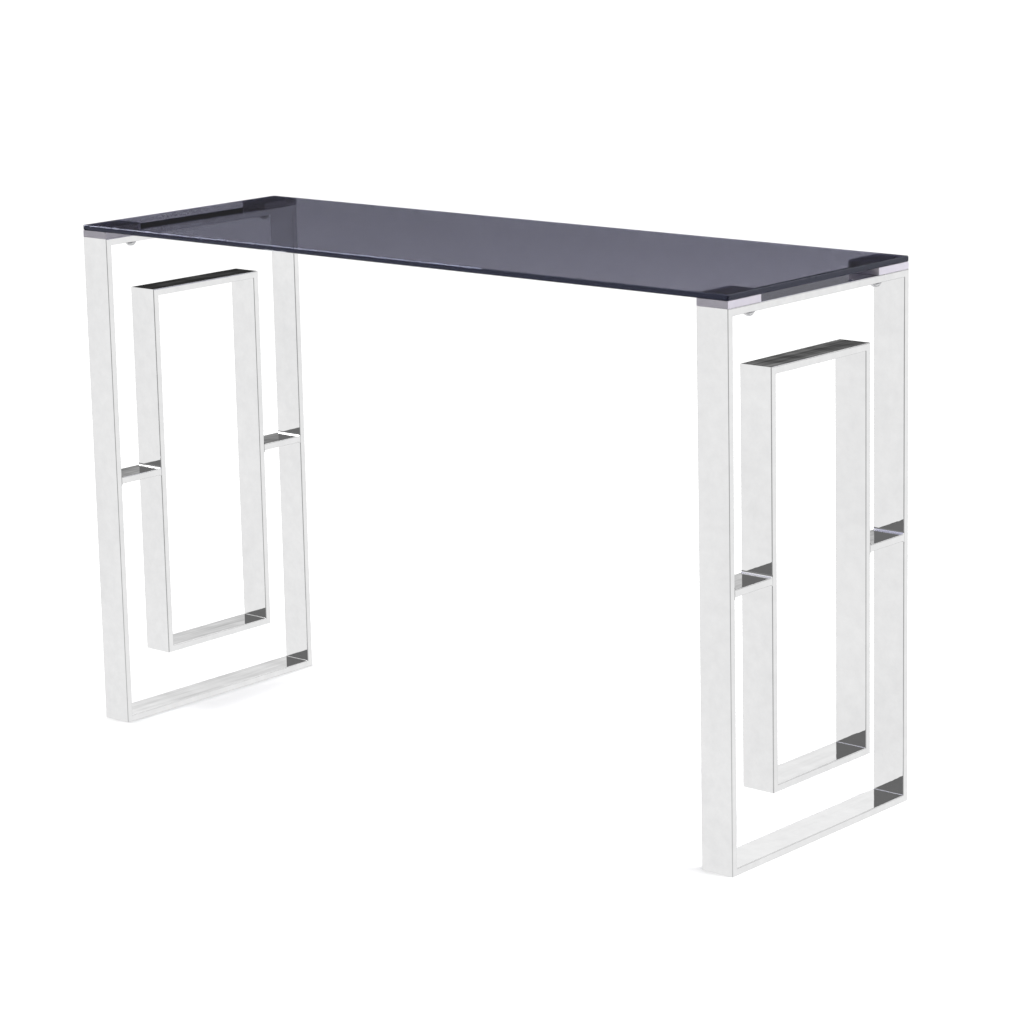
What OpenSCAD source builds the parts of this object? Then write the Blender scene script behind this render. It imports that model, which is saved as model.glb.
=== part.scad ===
// Console table: a tinted glass top on two polished leg frames.
// Each leg is a rectangle of flat tube with a smaller rectangle held inside it by two stubs.
// Milky acrylic spacer blocks lift the glass off the legs, and one screw from below holds each block.
// Frame: origin on the floor under the middle of the top, X along the table, Y to the back, Z up.

/* [Top] */
// Length of the glass top, along X
top_length = 1200; // [1000:10:1400]
// Depth of the glass top, along Y
top_depth = 400; // [380:5:460]
// Height of the top surface above the floor
table_height = 760; // [740:5:800]
// Thickness of the glass
glass_thickness = 8; // [6:1:12]
// Radius of the glass corners, seen from above
glass_corner_radius = 2; // [2:0.5:10]
// Width of the polished bevel along the glass edges
glass_arris = 1.2; // [0.5:0.1:1.5]

/* [Leg tube] */
// Wide side of the flat tube, along X
tube_width = 50; // [45:1:70]
// Narrow side of the flat tube
tube_thickness = 10; // [8:0.5:12]
// Wall thickness of the tube
tube_wall = 1.2; // [1:0.1:2]
// Radius of the tube's long outer edges
tube_edge_radius = 1.2; // [0.5:0.1:1.8]

/* [Inner rectangle] */
// Gap between each post and the inner rectangle, which the stubs span
side_gap = 80; // [60:1:100]
// Gap between the bottom rail and the inner rectangle
lower_gap = 80; // [50:1:120]
// Gap between the top rail and the inner rectangle
upper_gap = 77; // [50:1:120]
// Height of the stubs' middle above the floor
stub_height = 375; // [250:1:500]
// Height and depth of the weld bead round each end of a stub
weld_leg = 3; // [2:0.5:5]

/* [Spacer blocks] */
// Length of a block along the rail, from the edge of the glass
spacer_depth = 70; // [70:1:100]
// Thickness of a block, which is the gap under the glass
spacer_thickness = 10; // [10:0.5:20]
// Radius of the block's upright corners
spacer_corner_radius = 1; // [0.5:0.1:3]
// Width of the polished bevel along the block's edges
spacer_arris = 0.4; // [0.2:0.1:0.8]

/* [Screws] */
// Distance from the front or back edge of the table to a screw
screw_inset = 60; // [40:1:60]
// Distance of the screws from the middle of the rail, towards +X on both legs
screw_offset = 12; // [-12:1:12]
// Diameter of the screw's shank
shank_diameter = 8; // [6:1:8]
// How far the screw goes into its threaded insert
screw_engagement = 6.4; // [4:0.1:6.8]
// Diameter of the screw's button head
head_diameter = 14; // [12:0.5:14]
// Height of the screw's button head
head_height = 4.4; // [3.3:0.1:5]
// Height of the straight rim round the button head
head_rim_height = 0.8; // [0.4:0.1:1]
// Diameter of the flat on the button head
head_crown_diameter = 7; // [6.5:0.5:8]
// Diameter of the steel washer
washer_diameter = 16; // [15:0.5:18]
// Thickness of the steel washer
washer_thickness = 1.6; // [1:0.1:2]
// Diameter of the soft washer that keeps the steel one off the polished rail
soft_washer_diameter = 17; // [16:0.5:20]
// Thickness of the soft washer
soft_washer_thickness = 1; // [0.8:0.1:2]
// Outer diameter of the threaded insert in each block
insert_diameter = 12; // [11:0.5:12]
// Length of the threaded insert
insert_length = 8; // [7:0.5:8]

/* [Hidden] */
$fn = 64;

// Which leg, and which side of the table
left = -1;
right = 1;
front = -1;
rear = 1;

// Colours
tinted_glass = [0.18, 0.18, 0.25, 0.6];
milky_acrylic = [0.84, 0.81, 0.89, 0.85];
polished_steel = [0.82, 0.83, 0.84];
zinc_steel = [0.68, 0.69, 0.71];
bright_steel = [0.75, 0.76, 0.78];
insert_brass = [0.78, 0.66, 0.36];
soft_nylon = [0.85, 0.85, 0.83];

// Heights, from the floor up
glass_bottom = table_height - glass_thickness;
leg_height = glass_bottom - spacer_thickness;
rail_underside = leg_height - tube_thickness;

// The leg's rectangles, measured over their outsides
leg_depth = top_depth;
leg_middle = (top_length - tube_width) / 2;
inner_depth = leg_depth - 2 * tube_thickness - 2 * side_gap;
inner_bottom = tube_thickness + lower_gap;
inner_top = rail_underside - upper_gap;
inner_height = inner_top - inner_bottom;

// The hollow inside the tube
hollow_width = tube_width - 2 * tube_wall;
hollow_thickness = tube_thickness - 2 * tube_wall;

// Running room round the shank: wide in the rail, close in the insert
rail_hole_diameter = shank_diameter + 1;
washer_hole_diameter = shank_diameter + 0.4;
insert_bore_diameter = shank_diameter + 0.1;
insert_seat_diameter = insert_diameter + 0.1;
// The screw's head bears on the washers, and its shank reaches into the insert
screw_seat = rail_underside - soft_washer_thickness - washer_thickness;
screw_length = leg_height - screw_seat + screw_engagement;
// Hexagon socket in the screw's head, for a 5 mm key
socket_across_corners = 5.8;
socket_depth = 2.6;

// Cutters reach this far past what they cut
margin = 1;

screw_middles = [
    for (leg = [left, right], end = [front, rear])
        [leg * leg_middle + screw_offset, end * (top_depth / 2 - screw_inset)]
];

// Rectangle with round corners, its middle on the origin
module rounded_rectangle(size, radius) {
    square([size.x - 2 * radius, size.y], center = true);
    square([size.x, size.y - 2 * radius], center = true);
    for (x = [-1, 1], y = [-1, 1])
        translate([x * (size.x / 2 - radius), y * (size.y / 2 - radius)])
            circle(r = radius);
}

// Rectangle with its corners cut off at 45 degrees, its middle on the origin
module chamfered_rectangle(size, chamfer) {
    x = size.x / 2;
    y = size.y / 2;
    polygon([
        [x - chamfer, -y], [x, chamfer - y], [x, y - chamfer], [x - chamfer, y],
        [chamfer - x, y], [-x, y - chamfer], [-x, chamfer - y], [chamfer - x, -y]
    ]);
}

// Flat block standing on z = 0, with round upright corners and a bevel along its other edges
module eased_block(size, corner_radius, arris) {
    intersection() {
        linear_extrude(size.z)
            rounded_rectangle([size.x, size.y], corner_radius);
        translate([0, size.y / 2 + margin, size.z / 2])
            rotate([90, 0, 0])
                linear_extrude(size.y + 2 * margin)
                    chamfered_rectangle([size.x, size.z], arris);
        translate([-size.x / 2 - margin, 0, size.z / 2])
            rotate([90, 0, 90])
                linear_extrude(size.x + 2 * margin)
                    chamfered_rectangle([size.y, size.z], arris);
    }
}

// Hollow flat tube along +Z from z = 0. Its outer wide face lies on y = 0 and its inner one on
// y = tube_thickness, and x = 0 is the middle of the wide faces.
module flat_tube(length) {
    translate([0, tube_thickness / 2, 0])
        difference() {
            linear_extrude(length)
                rounded_rectangle([tube_width, tube_thickness], tube_edge_radius);
            translate([0, 0, -margin])
                linear_extrude(length + 2 * margin)
                    square([hollow_width, hollow_thickness], center = true);
        }
}

// The same tube with both ends mitred, longest along its outer face
module mitred_tube(length) {
    intersection() {
        flat_tube(length);
        translate([-tube_width / 2 - margin, 0, 0])
            rotate([90, 0, 90])
                linear_extrude(tube_width + 2 * margin)
                    polygon([
                        [0, 0], [tube_thickness, tube_thickness],
                        [tube_thickness, length - tube_thickness], [0, length]
                    ]);
    }
}

// Puts what is drawn on the middle of the left or the right leg
module on_leg(leg) {
    translate([leg * leg_middle, 0, 0])
        children();
}

// Upright side of a rectangle, at its front or its rear
module upright(leg, end, depth, bottom, height) {
    color(polished_steel)
        on_leg(leg)
            mirror([0, end == rear ? 1 : 0, 0])
                translate([0, -depth / 2, bottom])
                    mitred_tube(height);
}

// Tube along Y with its outer face down, as the lower side of a rectangle
module lying_tube(depth) {
    translate([0, -depth / 2, 0])
        mirror([0, 0, 1])
            rotate([-90, 0, 0])
                mitred_tube(depth);
}

module lower_side(leg, depth, bottom) {
    color(polished_steel)
        on_leg(leg)
            translate([0, 0, bottom])
                lying_tube(depth);
}

module upper_side(leg, depth, top) {
    color(polished_steel)
        on_leg(leg)
            translate([0, 0, top])
                mirror([0, 0, 1])
                    lying_tube(depth);
}

module post(leg, end) {
    upright(leg, end, leg_depth, 0, leg_height);
}

module bottom_rail(leg) {
    lower_side(leg, leg_depth, 0);
}

// The top rail is drilled through for the two screws
module top_rail(leg) {
    color(polished_steel)
        difference() {
            upper_side(leg, leg_depth, leg_height);
            for (place = screw_middles)
                translate([place.x, place.y, rail_underside - margin])
                    cylinder(d = rail_hole_diameter, h = tube_thickness + 2 * margin);
        }
}

module inner_stile(leg, end) {
    upright(leg, end, inner_depth, inner_bottom, inner_height);
}

module inner_bottom_rail(leg) {
    lower_side(leg, inner_depth, inner_bottom);
}

module inner_top_rail(leg) {
    upper_side(leg, inner_depth, inner_top);
}

// Straight weld bead across the tube, in the corner between z = 0 and y = 0
module weld_bead() {
    translate([-tube_width / 2, 0, 0])
        rotate([90, 0, 90])
            linear_extrude(tube_width)
                polygon([[0, 0], [weld_leg, 0], [0, weld_leg]]);
}

// Short level tube between a post and the inner rectangle, with a bead over and under each end
module stub(leg, end) {
    color(polished_steel)
        on_leg(leg)
            mirror([0, end == rear ? 1 : 0, 0])
                translate([0, tube_thickness - leg_depth / 2, stub_height]) {
                    translate([0, 0, tube_thickness / 2])
                        rotate([-90, 0, 0])
                            flat_tube(side_gap);
                    for (up = [0, 1], far = [0, 1])
                        mirror([0, 0, up])
                            translate([0, far * side_gap, tube_thickness / 2])
                                mirror([0, far, 0])
                                    weld_bead();
                }
}

// Milky block at one corner, with a blind seat underneath for the threaded insert
module spacer(leg, end) {
    color(milky_acrylic)
        difference() {
            translate([leg * leg_middle, end * (top_depth - spacer_depth) / 2, leg_height])
                eased_block([tube_width, spacer_depth, spacer_thickness],
                            spacer_corner_radius, spacer_arris);
            for (place = screw_middles)
                translate([place.x, place.y, leg_height - margin])
                    cylinder(d = insert_seat_diameter, h = insert_length + margin);
        }
}

module glass_top() {
    color(tinted_glass)
        translate([0, 0, glass_bottom])
            eased_block([top_length, top_depth, glass_thickness],
                        glass_corner_radius, glass_arris);
}

// Flat ring standing on the height given, one at each screw
module rings(height, outer_diameter, hole_diameter, thickness) {
    for (place = screw_middles)
        translate([place.x, place.y, height])
            difference() {
                cylinder(d = outer_diameter, h = thickness);
                translate([0, 0, -margin])
                    cylinder(d = hole_diameter, h = thickness + 2 * margin);
            }
}

module threaded_inserts() {
    color(insert_brass)
        rings(leg_height, insert_diameter, insert_bore_diameter, insert_length);
}

module soft_washers() {
    color(soft_nylon)
        rings(rail_underside - soft_washer_thickness, soft_washer_diameter,
              washer_hole_diameter, soft_washer_thickness);
}

module washers() {
    color(zinc_steel)
        rings(screw_seat, washer_diameter, washer_hole_diameter, washer_thickness);
}

// Button-head screw along +Z, the underside of its head on z = 0 and the head below it.
// The dome is part of a ball that passes through the edge of the flat and the edge of the rim.
module button_screw() {
    rim = head_diameter / 2;
    crown = head_crown_diameter / 2;
    dome_height = head_height - head_rim_height;
    ball_middle = (rim ^ 2 - crown ^ 2) / dome_height / 2 - (head_height + head_rim_height) / 2;
    ball_radius = norm([rim, ball_middle + head_rim_height]);
    cylinder(d = shank_diameter, h = screw_length);
    difference() {
        intersection() {
            translate([0, 0, -head_height])
                cylinder(d = head_diameter, h = head_height);
            translate([0, 0, ball_middle])
                sphere(r = ball_radius);
        }
        translate([0, 0, -head_height - margin])
            cylinder(d = socket_across_corners, h = socket_depth + margin, $fn = 6);
    }
}

module screws() {
    color(bright_steel)
        for (place = screw_middles)
            translate([place.x, place.y, screw_seat])
                button_screw();
}

glass_top();
spacer(left, front);  // spacer_front_left
spacer(left, rear);  // spacer_rear_left
spacer(right, front);  // spacer_front_right
spacer(right, rear);  // spacer_rear_right
post(left, front);  // left_front_post
post(left, rear);  // left_rear_post
top_rail(left);  // left_top_rail
bottom_rail(left);  // left_bottom_rail
inner_stile(left, front);  // left_inner_front_stile
inner_stile(left, rear);  // left_inner_rear_stile
inner_top_rail(left);  // left_inner_top_rail
inner_bottom_rail(left);  // left_inner_bottom_rail
stub(left, front);  // left_front_stub
stub(left, rear);  // left_rear_stub
post(right, front);  // right_front_post
post(right, rear);  // right_rear_post
top_rail(right);  // right_top_rail
bottom_rail(right);  // right_bottom_rail
inner_stile(right, front);  // right_inner_front_stile
inner_stile(right, rear);  // right_inner_rear_stile
inner_top_rail(right);  // right_inner_top_rail
inner_bottom_rail(right);  // right_inner_bottom_rail
stub(right, front);  // right_front_stub
stub(right, rear);  // right_rear_stub
threaded_inserts();
screws();
washers();
soft_washers();
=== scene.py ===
import math
import random

import bmesh
import bpy
from mathutils import Matrix, Vector


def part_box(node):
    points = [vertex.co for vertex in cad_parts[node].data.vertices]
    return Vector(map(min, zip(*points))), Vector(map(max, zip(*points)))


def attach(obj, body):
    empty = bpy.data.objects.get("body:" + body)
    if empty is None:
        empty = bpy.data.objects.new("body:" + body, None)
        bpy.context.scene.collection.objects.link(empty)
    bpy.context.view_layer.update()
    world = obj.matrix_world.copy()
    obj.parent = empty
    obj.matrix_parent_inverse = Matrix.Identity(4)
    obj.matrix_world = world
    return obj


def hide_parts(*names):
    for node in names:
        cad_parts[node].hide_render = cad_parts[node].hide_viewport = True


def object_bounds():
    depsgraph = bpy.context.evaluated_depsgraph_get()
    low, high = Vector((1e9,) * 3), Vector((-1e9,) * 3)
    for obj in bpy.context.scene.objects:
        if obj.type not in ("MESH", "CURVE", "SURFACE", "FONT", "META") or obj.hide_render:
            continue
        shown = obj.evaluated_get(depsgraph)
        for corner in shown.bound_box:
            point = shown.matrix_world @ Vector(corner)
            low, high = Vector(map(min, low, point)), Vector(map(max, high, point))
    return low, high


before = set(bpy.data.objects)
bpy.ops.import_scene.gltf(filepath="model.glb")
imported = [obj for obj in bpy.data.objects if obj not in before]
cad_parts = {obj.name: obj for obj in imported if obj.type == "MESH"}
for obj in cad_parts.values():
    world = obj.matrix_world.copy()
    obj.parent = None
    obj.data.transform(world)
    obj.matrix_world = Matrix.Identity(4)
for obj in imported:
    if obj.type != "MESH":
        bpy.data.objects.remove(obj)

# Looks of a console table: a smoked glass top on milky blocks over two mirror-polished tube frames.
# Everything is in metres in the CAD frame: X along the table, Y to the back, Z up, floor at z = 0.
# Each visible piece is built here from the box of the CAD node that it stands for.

MM = 0.001
BODY = "root"
cad_low, cad_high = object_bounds()

# ---------------------------------------------------------------- sizes that the boxes don't give
TUBE_EDGE_RADIUS = 1.2 * MM
TUBE_EDGE_STEPS = 5
CORNER_WELD_RADIUS = 0.7 * MM
WELD_STEPS = 6
SLAB_CORNER_STEPS = 6
GLASS_CORNER_RADIUS = 2.0 * MM
GLASS_ARRIS = 1.2 * MM
BLOCK_CORNER_RADIUS = 1.0 * MM
BLOCK_ARRIS = 0.4 * MM
CEMENT_GAP = 0.02 * MM
ROUND_STEPS = 64
SCREW_RIM = 0.8 * MM
SCREW_RIM_EASE = 0.15 * MM
SCREW_CROWN_RADIUS = 3.5 * MM
SCREW_DOME_STEPS = 8
SOCKET_FLATS = 5.0 * MM
SOCKET_EASE = 0.1 * MM
SOCKET_DEPTH = 2.6 * MM
SHANK_RADIUS = 4.0 * MM
SHANK_TIP_TAPER = 0.8 * MM
WASHER_HOLE_RADIUS = 4.2 * MM
WASHER_EASE = 0.2 * MM
SOFT_WASHER_EASE = 0.4 * MM
INSERT_BORE_RADIUS = 4.05 * MM
INSERT_EASE = 0.4 * MM
KNURL_TEETH = 32
KNURL_DEPTH = 0.25 * MM

# Edges that bend more than this many degrees stay sharp when a piece is shaded smooth.
SHARP_SLAB = 20
SHARP_SMALL_PART = 35
SHARP_WELD = 50

UV_OFFSET_RANGE = 10.0
SEED = 7

FRONT = Vector((0, -1, 0))
REAR = Vector((0, 1, 0))
TOP = Vector((0, 0, 1))
BOTTOM = Vector((0, 0, -1))


# ---------------------------------------------------------------- node helpers
class Nodes:
    """A material's or world's node tree, with short ways to add and link nodes."""

    def __init__(self, tree):
        self.tree = tree
        self.tree.nodes.clear()

    def add(self, kind, **settings):
        node = self.tree.nodes.new(kind)
        for name, value in settings.items():
            setattr(node, name, value)
        return node

    def link(self, source, target):
        self.tree.links.new(source, target)

    def feed(self, socket, value):
        """Links value to the socket if it is a socket itself, and sets it if it is a constant."""
        if isinstance(value, bpy.types.NodeSocket):
            self.link(value, socket)
        else:
            socket.default_value = value

    def math(self, operation, a, b=0.0, clamp=False):
        node = self.add("ShaderNodeMath", operation=operation, use_clamp=clamp)
        self.feed(node.inputs[0], a)
        self.feed(node.inputs[1], b)
        return node.outputs[0]

    def mix(self, factor, a, b):
        """Number that runs from a to b as the factor goes from 0 to 1."""
        node = self.add("ShaderNodeMix", data_type="FLOAT")
        self.feed(node.inputs["Factor"], factor)
        self.feed(node.inputs["A"], a)
        self.feed(node.inputs["B"], b)
        return node.outputs["Result"]

    def wrap(self, degrees):
        """The same direction between -180 and 180 degrees."""
        node = self.add("ShaderNodeMath", operation="WRAP")
        self.feed(node.inputs[0], degrees)
        node.inputs[1].default_value = 180.0
        node.inputs[2].default_value = -180.0
        return node.outputs[0]

    def smooth(self, value, low, high, out_low=0.0, out_high=1.0):
        """Value mapped smoothly from low..high to out_low..out_high."""
        node = self.add("ShaderNodeMapRange", interpolation_type="SMOOTHSTEP")
        self.feed(node.inputs["Value"], value)
        node.inputs["From Min"].default_value = low
        node.inputs["From Max"].default_value = high
        node.inputs["To Min"].default_value = out_low
        node.inputs["To Max"].default_value = out_high
        return node.outputs["Result"]

    def noise(self, coordinates, scale, stretch=(1, 1, 1), detail=3.0, roughness=0.5):
        """Noise over the coordinates given, stretched by the three factors."""
        mapping = self.add("ShaderNodeMapping")
        mapping.inputs["Scale"].default_value = stretch
        self.link(coordinates, mapping.inputs["Vector"])
        node = self.add("ShaderNodeTexNoise")
        node.inputs["Scale"].default_value = scale
        node.inputs["Detail"].default_value = detail
        node.inputs["Roughness"].default_value = roughness
        self.link(mapping.outputs["Vector"], node.inputs["Vector"])
        return node.outputs["Fac"]

    def colours(self, value, low, high):
        """Colour that runs from low to high as the value goes from 0 to 1."""
        node = self.add("ShaderNodeMix", data_type="RGBA")
        self.feed(node.inputs["Factor"], value)
        node.inputs["A"].default_value = (*low, 1)
        node.inputs["B"].default_value = (*high, 1)
        return node.outputs["Result"]

    def bump(self, height, distance, strength=1.0, normal=None):
        node = self.add("ShaderNodeBump")
        node.inputs["Distance"].default_value = distance
        node.inputs["Strength"].default_value = strength
        self.link(height, node.inputs["Height"])
        if normal is not None:
            self.link(normal, node.inputs["Normal"])
        return node.outputs["Normal"]


def new_material(name):
    """An empty node material with its output, and the helper for its tree."""
    material = bpy.data.materials.new(name)
    material.use_nodes = True
    nodes = Nodes(material.node_tree)
    output = nodes.add("ShaderNodeOutputMaterial")
    return material, nodes, output


def object_coordinates(nodes):
    return nodes.add("ShaderNodeTexCoord").outputs["Object"]


def uv_coordinates(nodes):
    return nodes.add("ShaderNodeTexCoord").outputs["UV"]


# ---------------------------------------------------------------- materials
GLASS_IOR = 1.52
GLASS_SPECULAR_LEVEL = 0.16
GLASS_SPECULAR_TINT = (0.55, 0.6, 1.0, 1)
GLASS_ABSORPTION_COLOUR = (0.0, 0.0, 0.3, 1)
GLASS_ABSORPTION_DENSITY = 90.0
ACRYLIC_IOR = 1.49
ACRYLIC_TRANSMISSION = 0.35


def polished_steel():
    """Mirror-polished stainless tube: slow waves in the sheet, faint polishing lines along it, smears."""
    material, nodes, output = new_material("polished_steel")
    shader = nodes.add("ShaderNodeBsdfPrincipled")
    place = object_coordinates(nodes)
    along = uv_coordinates(nodes)
    smears = nodes.noise(place, 9.0, stretch=(1, 1, 0.6), detail=5)
    clouds = nodes.noise(place, 55.0, detail=6, roughness=0.6)
    tone = nodes.mix(0.6, smears, clouds)
    lines = nodes.noise(along, 1.0, stretch=(14, 2600, 1), detail=2)
    waves = nodes.noise(along, 1.0, stretch=(5, 38, 1), detail=2)
    dents = nodes.noise(place, 16.0, detail=1)
    shader.inputs["Metallic"].default_value = 1.0
    nodes.link(nodes.colours(tone, (0.62, 0.62, 0.625), (0.82, 0.82, 0.82)), shader.inputs["Base Color"])
    haze = nodes.smooth(smears, 0.5, 0.8, 0.005, 0.04)
    grain = nodes.smooth(lines, 0.3, 0.7, 0.0, 0.008)
    nodes.link(nodes.math("ADD", haze, grain), shader.inputs["Roughness"])
    sheet = nodes.bump(waves, 0.0004, 0.8, nodes.bump(dents, 0.0008, 0.5))
    nodes.link(nodes.bump(lines, 0.000002, 0.3, sheet), shader.inputs["Normal"])
    nodes.link(shader.outputs["BSDF"], output.inputs["Surface"])
    return material


def tinted_glass():
    """Smoked blue-grey glass. The tint is in its depth, so its edges are almost black."""
    material, nodes, output = new_material("tinted_glass")
    shader = nodes.add("ShaderNodeBsdfPrincipled")
    place = object_coordinates(nodes)
    shader.inputs["Transmission Weight"].default_value = 1.0
    shader.inputs["IOR"].default_value = GLASS_IOR
    shader.inputs["Specular IOR Level"].default_value = GLASS_SPECULAR_LEVEL
    shader.inputs["Specular Tint"].default_value = GLASS_SPECULAR_TINT
    shader.inputs["Base Color"].default_value = (1, 1, 1, 1)
    wiped = nodes.noise(place, 5.0, stretch=(1, 2.5, 1), detail=6, roughness=0.6)
    nodes.link(nodes.smooth(wiped, 0.5, 0.85, 0.0, 0.012), shader.inputs["Roughness"])
    roller_wave = nodes.noise(place, 3.5, stretch=(1, 0.3, 1), detail=1)
    nodes.link(nodes.bump(roller_wave, 0.00015, 0.06), shader.inputs["Normal"])
    depth_tint = nodes.add("ShaderNodeVolumeAbsorption")
    depth_tint.inputs["Color"].default_value = GLASS_ABSORPTION_COLOUR
    depth_tint.inputs["Density"].default_value = GLASS_ABSORPTION_DENSITY
    nodes.link(shader.outputs["BSDF"], output.inputs["Surface"])
    nodes.link(depth_tint.outputs["Volume"], output.inputs["Volume"])
    return material


def milky_acrylic():
    """Milky lavender block: satin all over, with fine saw lines that run level round its sides."""
    material, nodes, output = new_material("milky_acrylic")
    shader = nodes.add("ShaderNodeBsdfPrincipled")
    place = object_coordinates(nodes)
    saw_lines = nodes.noise(place, 1.0, stretch=(500, 500, 4000), detail=2)
    clouds = nodes.noise(place, 90.0, detail=3)
    shader.inputs["Transmission Weight"].default_value = ACRYLIC_TRANSMISSION
    shader.inputs["IOR"].default_value = ACRYLIC_IOR
    nodes.link(nodes.colours(clouds, (0.41, 0.39, 0.445), (0.49, 0.47, 0.53)), shader.inputs["Base Color"])
    nodes.link(nodes.smooth(clouds, 0.35, 0.7, 0.35, 0.5), shader.inputs["Roughness"])
    nodes.link(nodes.bump(saw_lines, 0.00002, 0.4), shader.inputs["Normal"])
    nodes.link(shader.outputs["BSDF"], output.inputs["Surface"])
    return material


def plated_metal(name, low, high, roughness, scratch_scale):
    """Small turned or stamped metal part: colour and gloss vary a little, with fine scratches."""
    material, nodes, output = new_material(name)
    shader = nodes.add("ShaderNodeBsdfPrincipled")
    place = object_coordinates(nodes)
    patches = nodes.noise(place, 300.0, detail=4)
    scratches = nodes.noise(place, scratch_scale, stretch=(1, 0.2, 1), detail=3)
    shader.inputs["Metallic"].default_value = 1.0
    nodes.link(nodes.colours(patches, low, high), shader.inputs["Base Color"])
    nodes.link(nodes.smooth(patches, 0.3, 0.7, *roughness), shader.inputs["Roughness"])
    nodes.link(nodes.bump(scratches, 0.00002, 0.3), shader.inputs["Normal"])
    nodes.link(shader.outputs["BSDF"], output.inputs["Surface"])
    return material


def soft_nylon():
    """Milky moulded washer."""
    material, nodes, output = new_material("soft_nylon")
    shader = nodes.add("ShaderNodeBsdfPrincipled")
    place = object_coordinates(nodes)
    mottle = nodes.noise(place, 400.0, detail=3)
    shader.inputs["Subsurface Weight"].default_value = 0.2
    shader.inputs["Subsurface Radius"].default_value = (0.002, 0.002, 0.002)
    nodes.link(nodes.colours(mottle, (0.62, 0.62, 0.6), (0.72, 0.72, 0.7)), shader.inputs["Base Color"])
    nodes.link(nodes.smooth(mottle, 0.3, 0.7, 0.35, 0.5), shader.inputs["Roughness"])
    nodes.link(nodes.bump(mottle, 0.00003, 0.4), shader.inputs["Normal"])
    nodes.link(shader.outputs["BSDF"], output.inputs["Surface"])
    return material


STEEL = polished_steel()
GLASS = tinted_glass()
ACRYLIC = milky_acrylic()
SCREW_STEEL = plated_metal("screw_steel", (0.62, 0.62, 0.63), (0.72, 0.72, 0.73), (0.25, 0.4), 900)
WASHER_ZINC = plated_metal("washer_zinc", (0.42, 0.43, 0.45), (0.55, 0.55, 0.56), (0.2, 0.4), 1200)
BRASS = plated_metal("insert_brass", (0.55, 0.42, 0.18), (0.68, 0.53, 0.25), (0.2, 0.35), 800)
NYLON = soft_nylon()


# ---------------------------------------------------------------- mesh helpers
def bridge(bm, first, second):
    """Faces from one closed ring of vertices to the next."""
    count = len(first)
    for i in range(count):
        j = (i + 1) % count
        bm.faces.new((first[i], first[j], second[j], second[i]))


def to_mesh(bm, name):
    """A new mesh from the bmesh, which is freed."""
    mesh = bpy.data.meshes.new(name)
    bm.to_mesh(mesh)
    bm.free()
    return mesh


def finish_piece(name, mesh, material, nodes=()):
    """Links the mesh as a piece that rides on the table, and hides the CAD nodes that it stands for."""
    piece = bpy.data.objects.new(name, mesh)
    bpy.context.scene.collection.objects.link(piece)
    mesh.materials.append(material)
    if nodes:
        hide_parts(*nodes)
    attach(piece, BODY)
    return piece


def soften(piece, angle_degrees):
    """Smooth shading with edges over the angle kept sharp, and flat faces kept flat."""
    mesh = piece.data
    mesh.shade_smooth()
    mesh.set_sharp_from_angle(angle=math.radians(angle_degrees))
    modifier = piece.modifiers.new("flat_faces", "WEIGHTED_NORMAL")
    modifier.keep_sharp = True
    modifier.weight = 100


def rounded_outline(width, height, radius, steps):
    """Points and outward normals round a rectangle with round corners, about its middle."""
    outline = []
    for quarter in range(4):
        sign_x, sign_y = ((1, 1), (-1, 1), (-1, -1), (1, -1))[quarter]
        centre = Vector((sign_x * (width / 2 - radius), sign_y * (height / 2 - radius)))
        for step in range(steps + 1):
            turn = math.radians(90 * (quarter + step / steps))
            normal = Vector((math.cos(turn), math.sin(turn)))
            outline.append((centre + radius * normal, normal))
    return outline


def tube_piece(node, outward):
    """Flat tube with round long edges and mitred ends, from its node's box and its outer side."""
    low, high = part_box(node)
    along_axis = 2 if outward.y else 1
    inward_axis = 3 - along_axis
    across = Vector((1, 0, 0))
    along = Vector((0, 0, 1)) if along_axis == 2 else Vector((0, 1, 0))
    thickness = high[inward_axis] - low[inward_axis]
    middle = (low + high) / 2
    length = high[along_axis] - low[along_axis]
    outline = rounded_outline(high.x - low.x, thickness, TUBE_EDGE_RADIUS, TUBE_EDGE_STEPS)
    vertices = []
    normals = []
    for end in (-1, 1):
        for point, normal in outline:
            inset = thickness / 2 - point.y
            position = middle + across * point.x + outward * point.y
            position = position + along * end * (length / 2 - inset)
            vertices.append(position)
            normals.append(across * normal.x + outward * normal.y)
    count = len(outline)
    faces = [(i, (i + 1) % count, count + (i + 1) % count, count + i) for i in range(count)]
    faces += [tuple(reversed(range(count))), tuple(range(count, 2 * count))]
    if across.cross(outward).dot(along) < 0:
        faces = [tuple(reversed(face)) for face in faces]
    mesh = bpy.data.meshes.new(node)
    mesh.from_pydata(vertices, [], faces)
    add_tube_uvs(mesh, outline, along, random.Random(node).random() * UV_OFFSET_RANGE)
    set_tube_normals(mesh, normals)
    finish_piece(node + "_tube", mesh, STEEL, [node])


def add_tube_uvs(mesh, outline, along, offset):
    """UVs in metres along the tube and round its outline."""
    count = len(outline)
    distance_round = [0.0]
    for index in range(count):
        step = outline[(index + 1) % count][0] - outline[index][0]
        distance_round.append(distance_round[-1] + step.length)
    uv_layer = mesh.uv_layers.new(name="length_and_girth")
    for polygon in mesh.polygons:
        for loop in polygon.loop_indices:
            vertex = mesh.loops[loop].vertex_index
            closes = is_last_strip(polygon, count) and vertex % count == 0
            girth = distance_round[count if closes else vertex % count]
            uv_layer.data[loop].uv = (offset + mesh.vertices[vertex].co.dot(along), offset + girth)


def set_tube_normals(mesh, normals):
    """Exact normals on the tube's sides, so its flats stay flat, and flat shading on its two ends."""
    loop_normals = []
    for polygon in mesh.polygons:
        polygon.use_smooth = True
        is_cap = len(polygon.vertices) > 4
        for vertex in polygon.vertices:
            loop_normals.append(polygon.normal.copy() if is_cap else normals[vertex])
    mesh.normals_split_custom_set(loop_normals)


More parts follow.
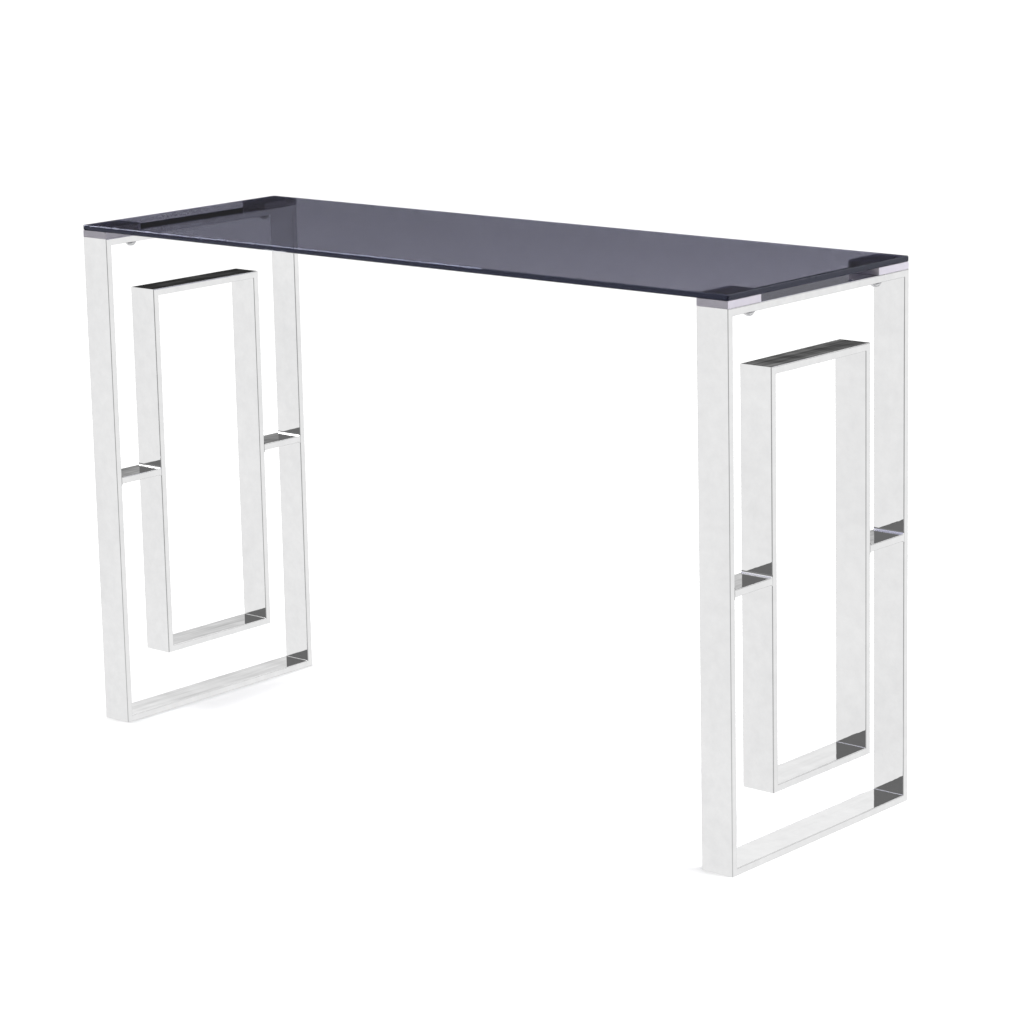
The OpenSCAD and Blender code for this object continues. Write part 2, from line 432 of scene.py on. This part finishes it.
def is_last_strip(polygon, count):
    """Whether a tube's face closes the loop round it, between the last point and the first."""
    around = {vertex % count for vertex in polygon.vertices}
    return around == {0, count - 1}


def rounded_slab(name, low, high, corner_radius, arris):
    """Slab with round upright corners and a polished bevel along its upper and lower edges."""
    size = high - low
    middle = (low + high) / 2
    levels = [(low.z, arris), (low.z + arris, 0.0), (high.z - arris, 0.0), (high.z, arris)]
    outline = rounded_outline(size.x, size.y, corner_radius, SLAB_CORNER_STEPS)
    bm = bmesh.new()
    rings = []
    for height, inset in levels:
        ring = [
            bm.verts.new((middle.x + p.x - n.x * inset, middle.y + p.y - n.y * inset, height))
            for p, n in outline
        ]
        rings.append(ring)
    for lower, upper in zip(rings, rings[1:]):
        bridge(bm, lower, upper)
    bm.faces.new(list(reversed(rings[0])))
    bm.faces.new(rings[-1])
    return to_mesh(bm, name)


def ring_mesh(rings, closed):
    """Bmesh through rings of (radius, height) or (function of angle, height). Closed joins last to first."""
    bm = bmesh.new()
    built = []
    for radius, height in rings:
        ring = []
        for step in range(ROUND_STEPS):
            turn = 2 * math.pi * step / ROUND_STEPS
            reach = radius(turn) if callable(radius) else radius
            ring.append(bm.verts.new((reach * math.cos(turn), reach * math.sin(turn), height)))
        built.append(ring)
    pairs = list(zip(built, built[1:]))
    if closed:
        pairs.append((built[-1], built[0]))
    for first, second in pairs:
        bridge(bm, first, second)
    if not closed:
        bm.faces.new(list(reversed(built[0])))
        bm.faces.new(built[-1])
    bmesh.ops.recalc_face_normals(bm, faces=bm.faces)
    return bm


def group_piece(name, node, material, make_one):
    """One piece with a copy of make_one() at each of the node's separate solids."""
    places = solid_boxes(node)
    bm = bmesh.new()
    chooser = random.Random(SEED)
    for low, high in places:
        one = make_one(low, high)
        middle = (low + high) / 2
        turn = Matrix.Rotation(chooser.uniform(0, math.pi), 4, "Z")
        one.transform(Matrix.Translation((middle.x, middle.y, 0)) @ turn)
        scratch = to_mesh(one, "scratch")
        bm.from_mesh(scratch)
        bpy.data.meshes.remove(scratch)
    piece = finish_piece(name, to_mesh(bm, name), material, [node])
    soften(piece, SHARP_SMALL_PART)


def solid_boxes(node):
    """Box of each separate solid of a node, found by the quarter of the table that it lies in."""
    groups = {}
    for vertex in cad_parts[node].data.vertices:
        groups.setdefault((vertex.co.x > 0, vertex.co.y > 0), []).append(vertex.co)
    boxes = []
    for quarter in sorted(groups):
        points = groups[quarter]
        low = Vector([min(p[axis] for p in points) for axis in range(3)])
        high = Vector([max(p[axis] for p in points) for axis in range(3)])
        boxes.append((low, high))
    return boxes


# ---------------------------------------------------------------- leg frames
def concave_corner(radius):
    """Points of a quarter circle that blends y = 0 into z = 0, with normals into the open corner."""
    points = []
    for step in range(WELD_STEPS + 1):
        turn = math.radians(90 * step / WELD_STEPS)
        normal = Vector((math.cos(turn), math.sin(turn)))
        points.append((Vector((radius, radius)) - radius * normal, normal))
    return points


def stub_outline(depth, thickness, weld):
    """Points and outward normals (Y, Z) round a stub, with a weld fillet at each of its corners."""
    outline = []
    for side_y, side_z in ((-1, 1), (1, 1), (1, -1), (-1, -1)):
        run = []
        for point, normal in concave_corner(weld):
            y = side_y * (depth / 2 - point.x)
            z = side_z * (thickness / 2 + point.y)
            run.append((Vector((y, z)), Vector((-side_y * normal.x, side_z * normal.y))))
        if side_y * side_z > 0:
            run.reverse()
        outline += run
    return outline


def stub_sections(width):
    """Places across the stub, each with how far its outline is inset there to round the long edges."""
    half = width / 2
    edge = [math.radians(90 * step / TUBE_EDGE_STEPS) for step in range(TUBE_EDGE_STEPS + 1)]
    sections = [(-half + TUBE_EDGE_RADIUS * (1 - math.cos(a)), TUBE_EDGE_RADIUS * (1 - math.sin(a)))
                for a in edge]
    return sections + [(-x, inset) for x, inset in reversed(sections)]


def stub_piece(node, thickness):
    """Level tube between two uprights, with a ground weld fillet over and under each end."""
    low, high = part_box(node)
    middle = (low + high) / 2
    depth = high.y - low.y
    weld = ((high.z - low.z) - thickness) / 2
    outline = stub_outline(depth, thickness, weld)
    bm = bmesh.new()
    rings = []
    for x, inset in stub_sections(high.x - low.x):
        ring = []
        for point, normal in outline:
            y = max(-depth / 2, min(depth / 2, point.x - normal.x * inset))
            ring.append(bm.verts.new((middle.x + x, middle.y + y, middle.z + point.y - normal.y * inset)))
        rings.append(ring)
    for first, second in zip(rings, rings[1:]):
        bridge(bm, first, second)
    bm.faces.new(rings[0])
    bm.faces.new(list(reversed(rings[-1])))
    bmesh.ops.recalc_face_normals(bm, faces=bm.faces)
    mesh = to_mesh(bm, node)
    add_length_uv(mesh, 1)
    piece = finish_piece(node + "_tube", mesh, STEEL, [node])
    soften(piece, SHARP_WELD)


def add_length_uv(mesh, along_axis):
    """UVs in metres: along the tube, and round it as the sum of the other two coordinates."""
    layer = mesh.uv_layers.new(name="length_and_girth")
    others = [axis for axis in range(3) if axis != along_axis]
    for loop in mesh.loops:
        co = mesh.vertices[loop.vertex_index].co
        layer.data[loop.index].uv = (co[along_axis], co[others[0]] + co[others[1]])


def corner_welds(leg, frame_nodes, label):
    """Ground weld fillets in the four inside corners of a rectangle of tubes."""
    front, rear, upper, lower = (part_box(name) for name in frame_nodes)
    bm = bmesh.new()
    x_low = front[0].x + TUBE_EDGE_RADIUS
    x_high = front[1].x - TUBE_EDGE_RADIUS
    corners = [
        (front[1].y, lower[1].z, 1, 1), (rear[0].y, lower[1].z, -1, 1),
        (front[1].y, upper[0].z, 1, -1), (rear[0].y, upper[0].z, -1, -1),
    ]
    for y, z, side_y, side_z in corners:
        profile = [p for p, _ in concave_corner(CORNER_WELD_RADIUS)] + [Vector((0, 0))]
        ends = [
            [bm.verts.new((x, y + side_y * p.x, z + side_z * p.y)) for p in profile]
            for x in (x_low, x_high)
        ]
        bridge(bm, *ends)
        bm.faces.new(ends[0])
        bm.faces.new(list(reversed(ends[1])))
    bmesh.ops.recalc_face_normals(bm, faces=bm.faces)
    name = f"{leg}_{label}_corner_welds"
    mesh = to_mesh(bm, name)
    add_length_uv(mesh, 0)
    piece = finish_piece(name, mesh, STEEL)
    soften(piece, SHARP_WELD)


def leg_frame(leg):
    """All the tubes and welds of one leg."""
    for part in ("", "inner_"):
        upright = "post" if part == "" else "stile"
        names = [
            f"{leg}_{part}front_{upright}", f"{leg}_{part}rear_{upright}",
            f"{leg}_{part}top_rail", f"{leg}_{part}bottom_rail",
        ]
        for name, outward in zip(names, (FRONT, REAR, TOP, BOTTOM)):
            tube_piece(name, outward)
        corner_welds(leg, names, "inner" if part else "outer")
    low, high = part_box(f"{leg}_bottom_rail")
    for end in ("front", "rear"):
        stub_piece(f"{leg}_{end}_stub", high.z - low.z)


for leg in ("left", "right"):
    leg_frame(leg)


# ---------------------------------------------------------------- top and spacer blocks
def glass_top():
    low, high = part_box("glass_top")
    mesh = rounded_slab("glass_top", low, high, GLASS_CORNER_RADIUS, GLASS_ARRIS)
    piece = finish_piece("glass_top_slab", mesh, GLASS, ["glass_top"])
    soften(piece, SHARP_SLAB)


def spacer_block(node):
    low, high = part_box(node)
    gap = Vector((0, 0, CEMENT_GAP))
    mesh = rounded_slab(node, low + gap, high - gap, BLOCK_CORNER_RADIUS, BLOCK_ARRIS)
    piece = finish_piece(node + "_block", mesh, ACRYLIC, [node])
    soften(piece, SHARP_SLAB)


glass_top()
for end in ("front", "rear"):
    for leg in ("left", "right"):
        spacer_block(f"spacer_{end}_{leg}")


# ---------------------------------------------------------------- screws, washers and inserts
def hexagon(flats):
    """Distance to a hexagon's side as a function of the angle."""
    def reach(turn):
        off_middle = (turn + math.pi / 6) % (math.pi / 3) - math.pi / 6
        return flats / 2 / math.cos(off_middle)
    return reach


def knurled(radius):
    """Radius with straight knurl teeth as a function of the angle."""
    def reach(turn):
        return radius - KNURL_DEPTH * abs(math.sin(turn * KNURL_TEETH / 2))
    return reach


def button_screw(low, high):
    """Screw with its domed head down: shank, rim, dome, flat and hexagon socket."""
    rim_radius = (high.x - low.x) / 2
    seat = solid_boxes("washers")[0][0].z
    head_height = seat - low.z
    dome_height = head_height - SCREW_RIM
    rings = [(SHANK_RADIUS - SHANK_TIP_TAPER, high.z), (SHANK_RADIUS, high.z - SHANK_TIP_TAPER)]
    rings += [(SHANK_RADIUS, seat), (rim_radius - SCREW_RIM_EASE, seat)]
    rings.append((rim_radius, seat - SCREW_RIM_EASE))
    drop = (rim_radius ** 2 - SCREW_CROWN_RADIUS ** 2) / dome_height / 2 - (head_height + SCREW_RIM) / 2
    ball = math.hypot(rim_radius, drop + SCREW_RIM)
    for step in range(SCREW_DOME_STEPS + 1):
        depth = SCREW_RIM + dome_height * step / SCREW_DOME_STEPS
        rings.append((math.sqrt(ball ** 2 - (depth + drop) ** 2), seat - depth))
    rings.append((hexagon(SOCKET_FLATS + 2 * SOCKET_EASE), low.z))
    rings.append((hexagon(SOCKET_FLATS), low.z + SOCKET_EASE))
    rings.append((hexagon(SOCKET_FLATS), low.z + SOCKET_DEPTH))
    return ring_mesh(rings, closed=False)


def washer(hole_radius, ease):
    def make(low, high):
        radius = (high.x - low.x) / 2
        rings = [
            (hole_radius, low.z), (radius - ease, low.z), (radius, low.z + ease),
            (radius, high.z - ease), (radius - ease, high.z), (hole_radius, high.z),
        ]
        return ring_mesh(rings, closed=True)
    return make


def threaded_insert(low, high):
    radius = (high.x - low.x) / 2
    rings = [
        (INSERT_BORE_RADIUS, low.z), (radius - INSERT_EASE, low.z),
        (knurled(radius), low.z + INSERT_EASE), (knurled(radius), high.z - INSERT_EASE),
        (radius - INSERT_EASE, high.z), (INSERT_BORE_RADIUS, high.z),
    ]
    return ring_mesh(rings, closed=True)


group_piece("screws_button_head", "screws", SCREW_STEEL, button_screw)
group_piece("washers_steel", "washers", WASHER_ZINC, washer(WASHER_HOLE_RADIUS, WASHER_EASE))
group_piece("washers_soft", "soft_washers", NYLON, washer(WASHER_HOLE_RADIUS, SOFT_WASHER_EASE))
group_piece("inserts_threaded", "threaded_inserts", BRASS, threaded_insert)


# ---------------------------------------------------------------- floor, light and camera
FLOOR_HALF = 40.0
FLOOR_COLOUR = (0.88, 0.88, 0.88)
WORLD_WHITE = 1.05

# Brightness of the plain room that lights the table and shows in its polished surfaces. White is 1.
ROOM_BELOW = 1.11
ROOM_DIM_UNDERFOOT = 0.8
ROOM_DIM_FAR = 0.3
ROOM_HORIZON = 0.03
ROOM_BACK = 1.12
ROOM_FRONT = 0.24
ROOM_OVERHEAD = 1.68

# Its sides in degrees of azimuth, where 0 is +X and 90 is +Y: middle, half width, softness of the edges.
# They were placed knowing what each face of the table mirrors in the main view.
DIM_SIDE_RIGHT = (-42, 48, 40)
DIM_SIDE_LEFT = (138, 44, 36)
FRONT_SIDE = (-85, 75, 15)

# Elevations in degrees between which one brightness turns into the next.
DIM_RISE = (-30.0, -6.0)
HORIZON_RISE = (-4.0, 2.0)
BACK_RISE = (8.0, 19.0)
OVERHEAD_RISE = (25.0, 60.0)

# Azimuth, elevation (degrees), distance, width, height (metres), watts, whether steel and glass show it.
SOFTBOXES = {
    "softbox_left": (-168, 45, 3.0, 1.6, 1.0, 25.0, True),
    "softbox_right": (15, 25, 3.0, 2.0, 1.6, 85.0, False),
}

CAMERA_AZIMUTH = 41.18
CAMERA_ELEVATION = 11.09
CAMERA_ROLL = -1.24
CAMERA_SHIFT_Y = -0.1
CAMERA_LENS = 111.9
CAMERA_PLACE = Vector((2.969, -3.32, 1.387))


def floor():
    mesh = bpy.data.meshes.new("floor")
    corners = [(-FLOOR_HALF, -FLOOR_HALF, 0), (FLOOR_HALF, -FLOOR_HALF, 0),
               (FLOOR_HALF, FLOOR_HALF, 0), (-FLOOR_HALF, FLOOR_HALF, 0)]
    mesh.from_pydata(corners, [], [(0, 1, 2, 3)])
    plane = bpy.data.objects.new("floor", mesh)
    bpy.context.scene.collection.objects.link(plane)
    material, nodes, output = new_material("pale_floor")
    shader = nodes.add("ShaderNodeBsdfDiffuse")
    shader.inputs["Color"].default_value = (*FLOOR_COLOUR, 1)
    nodes.link(shader.outputs["BSDF"], output.inputs["Surface"])
    mesh.materials.append(material)
    plane.visible_glossy = False


def studio_side(nodes, azimuth, side):
    """1 in a side of the room and 0 away from it, with soft edges."""
    centre, half_width, soft = side
    turn = nodes.math("ABSOLUTE", nodes.wrap(nodes.math("SUBTRACT", azimuth, centre)))
    return nodes.smooth(turn, half_width - soft, half_width + soft, 1.0, 0.0)


def studio_room(nodes, azimuth, elevation):
    """Soft room: pale below with two dimmer sides, almost black at the horizon, bright overhead."""
    dim_left = studio_side(nodes, azimuth, DIM_SIDE_LEFT)
    dim_right = studio_side(nodes, azimuth, DIM_SIDE_RIGHT)
    dim = nodes.smooth(elevation, *DIM_RISE, ROOM_DIM_UNDERFOOT, ROOM_DIM_FAR)
    below = nodes.mix(nodes.math("MAXIMUM", dim_right, dim_left), ROOM_BELOW, dim)
    back = nodes.smooth(elevation, *BACK_RISE, ROOM_HORIZON, ROOM_BACK)
    above = nodes.mix(studio_side(nodes, azimuth, FRONT_SIDE), back, ROOM_FRONT)
    above = nodes.mix(nodes.smooth(elevation, *OVERHEAD_RISE), above, ROOM_OVERHEAD)
    return nodes.mix(nodes.smooth(elevation, *HORIZON_RISE), below, above)


def studio_world():
    """Plain white behind everything the camera sees, and the plain soft room for light and reflections."""
    world = bpy.data.worlds.new("studio")
    bpy.context.scene.world = world
    world.use_nodes = True
    nodes = Nodes(world.node_tree)
    output = nodes.add("ShaderNodeOutputWorld")
    parts = nodes.add("ShaderNodeSeparateXYZ")
    nodes.link(nodes.add("ShaderNodeTexCoord").outputs["Generated"], parts.inputs["Vector"])
    azimuth = nodes.math("ARCTAN2", parts.outputs["Y"], parts.outputs["X"])
    azimuth = nodes.math("DEGREES", azimuth)
    elevation = nodes.math("DEGREES", nodes.math("ARCSINE", parts.outputs["Z"]))
    room = studio_room(nodes, azimuth, elevation)
    path = nodes.add("ShaderNodeLightPath")
    level = nodes.mix(path.outputs["Is Camera Ray"], room, WORLD_WHITE)
    studio = nodes.add("ShaderNodeBackground")
    studio.inputs["Color"].default_value = (1, 1, 1, 1)
    nodes.link(level, studio.inputs["Strength"])
    nodes.link(studio.outputs[0], output.inputs["Surface"])


def softbox(name, azimuth, elevation, distance, width, height, watts, mirrored):
    data = bpy.data.lights.new(name, "AREA")
    data.shape = "RECTANGLE"
    data.size = width
    data.size_y = height
    data.energy = watts
    lamp = bpy.data.objects.new(name, data)
    bpy.context.scene.collection.objects.link(lamp)
    across = math.radians(azimuth)
    up = math.radians(elevation)
    away = Vector((math.cos(across) * math.cos(up), math.sin(across) * math.cos(up), math.sin(up)))
    middle = (Vector(cad_low) + Vector(cad_high)) / 2
    lamp.location = middle + away * distance
    lamp.rotation_euler = away.to_track_quat("Z", "Y").to_euler()
    lamp.visible_camera = False
    lamp.visible_glossy = mirrored
    lamp.visible_transmission = mirrored


def camera():
    data = bpy.data.cameras.new("camera")
    data.lens = CAMERA_LENS
    data.sensor_width = 36.0
    data.shift_y = CAMERA_SHIFT_Y
    data.clip_end = 200.0
    eye = bpy.data.objects.new("camera", data)
    bpy.context.scene.collection.objects.link(eye)
    turn = Matrix.Rotation(math.radians(CAMERA_AZIMUTH), 4, "Z")
    tilt = Matrix.Rotation(math.radians(90 - CAMERA_ELEVATION), 4, "X")
    roll = Matrix.Rotation(math.radians(CAMERA_ROLL), 4, "Z")
    eye.matrix_world = Matrix.Translation(CAMERA_PLACE) @ turn @ tilt @ roll
    bpy.context.scene.camera = eye


floor()
studio_world()
for softbox_name, placing in SOFTBOXES.items():
    softbox(softbox_name, *placing)
camera()
bpy.context.scene.view_settings.view_transform = "Standard"
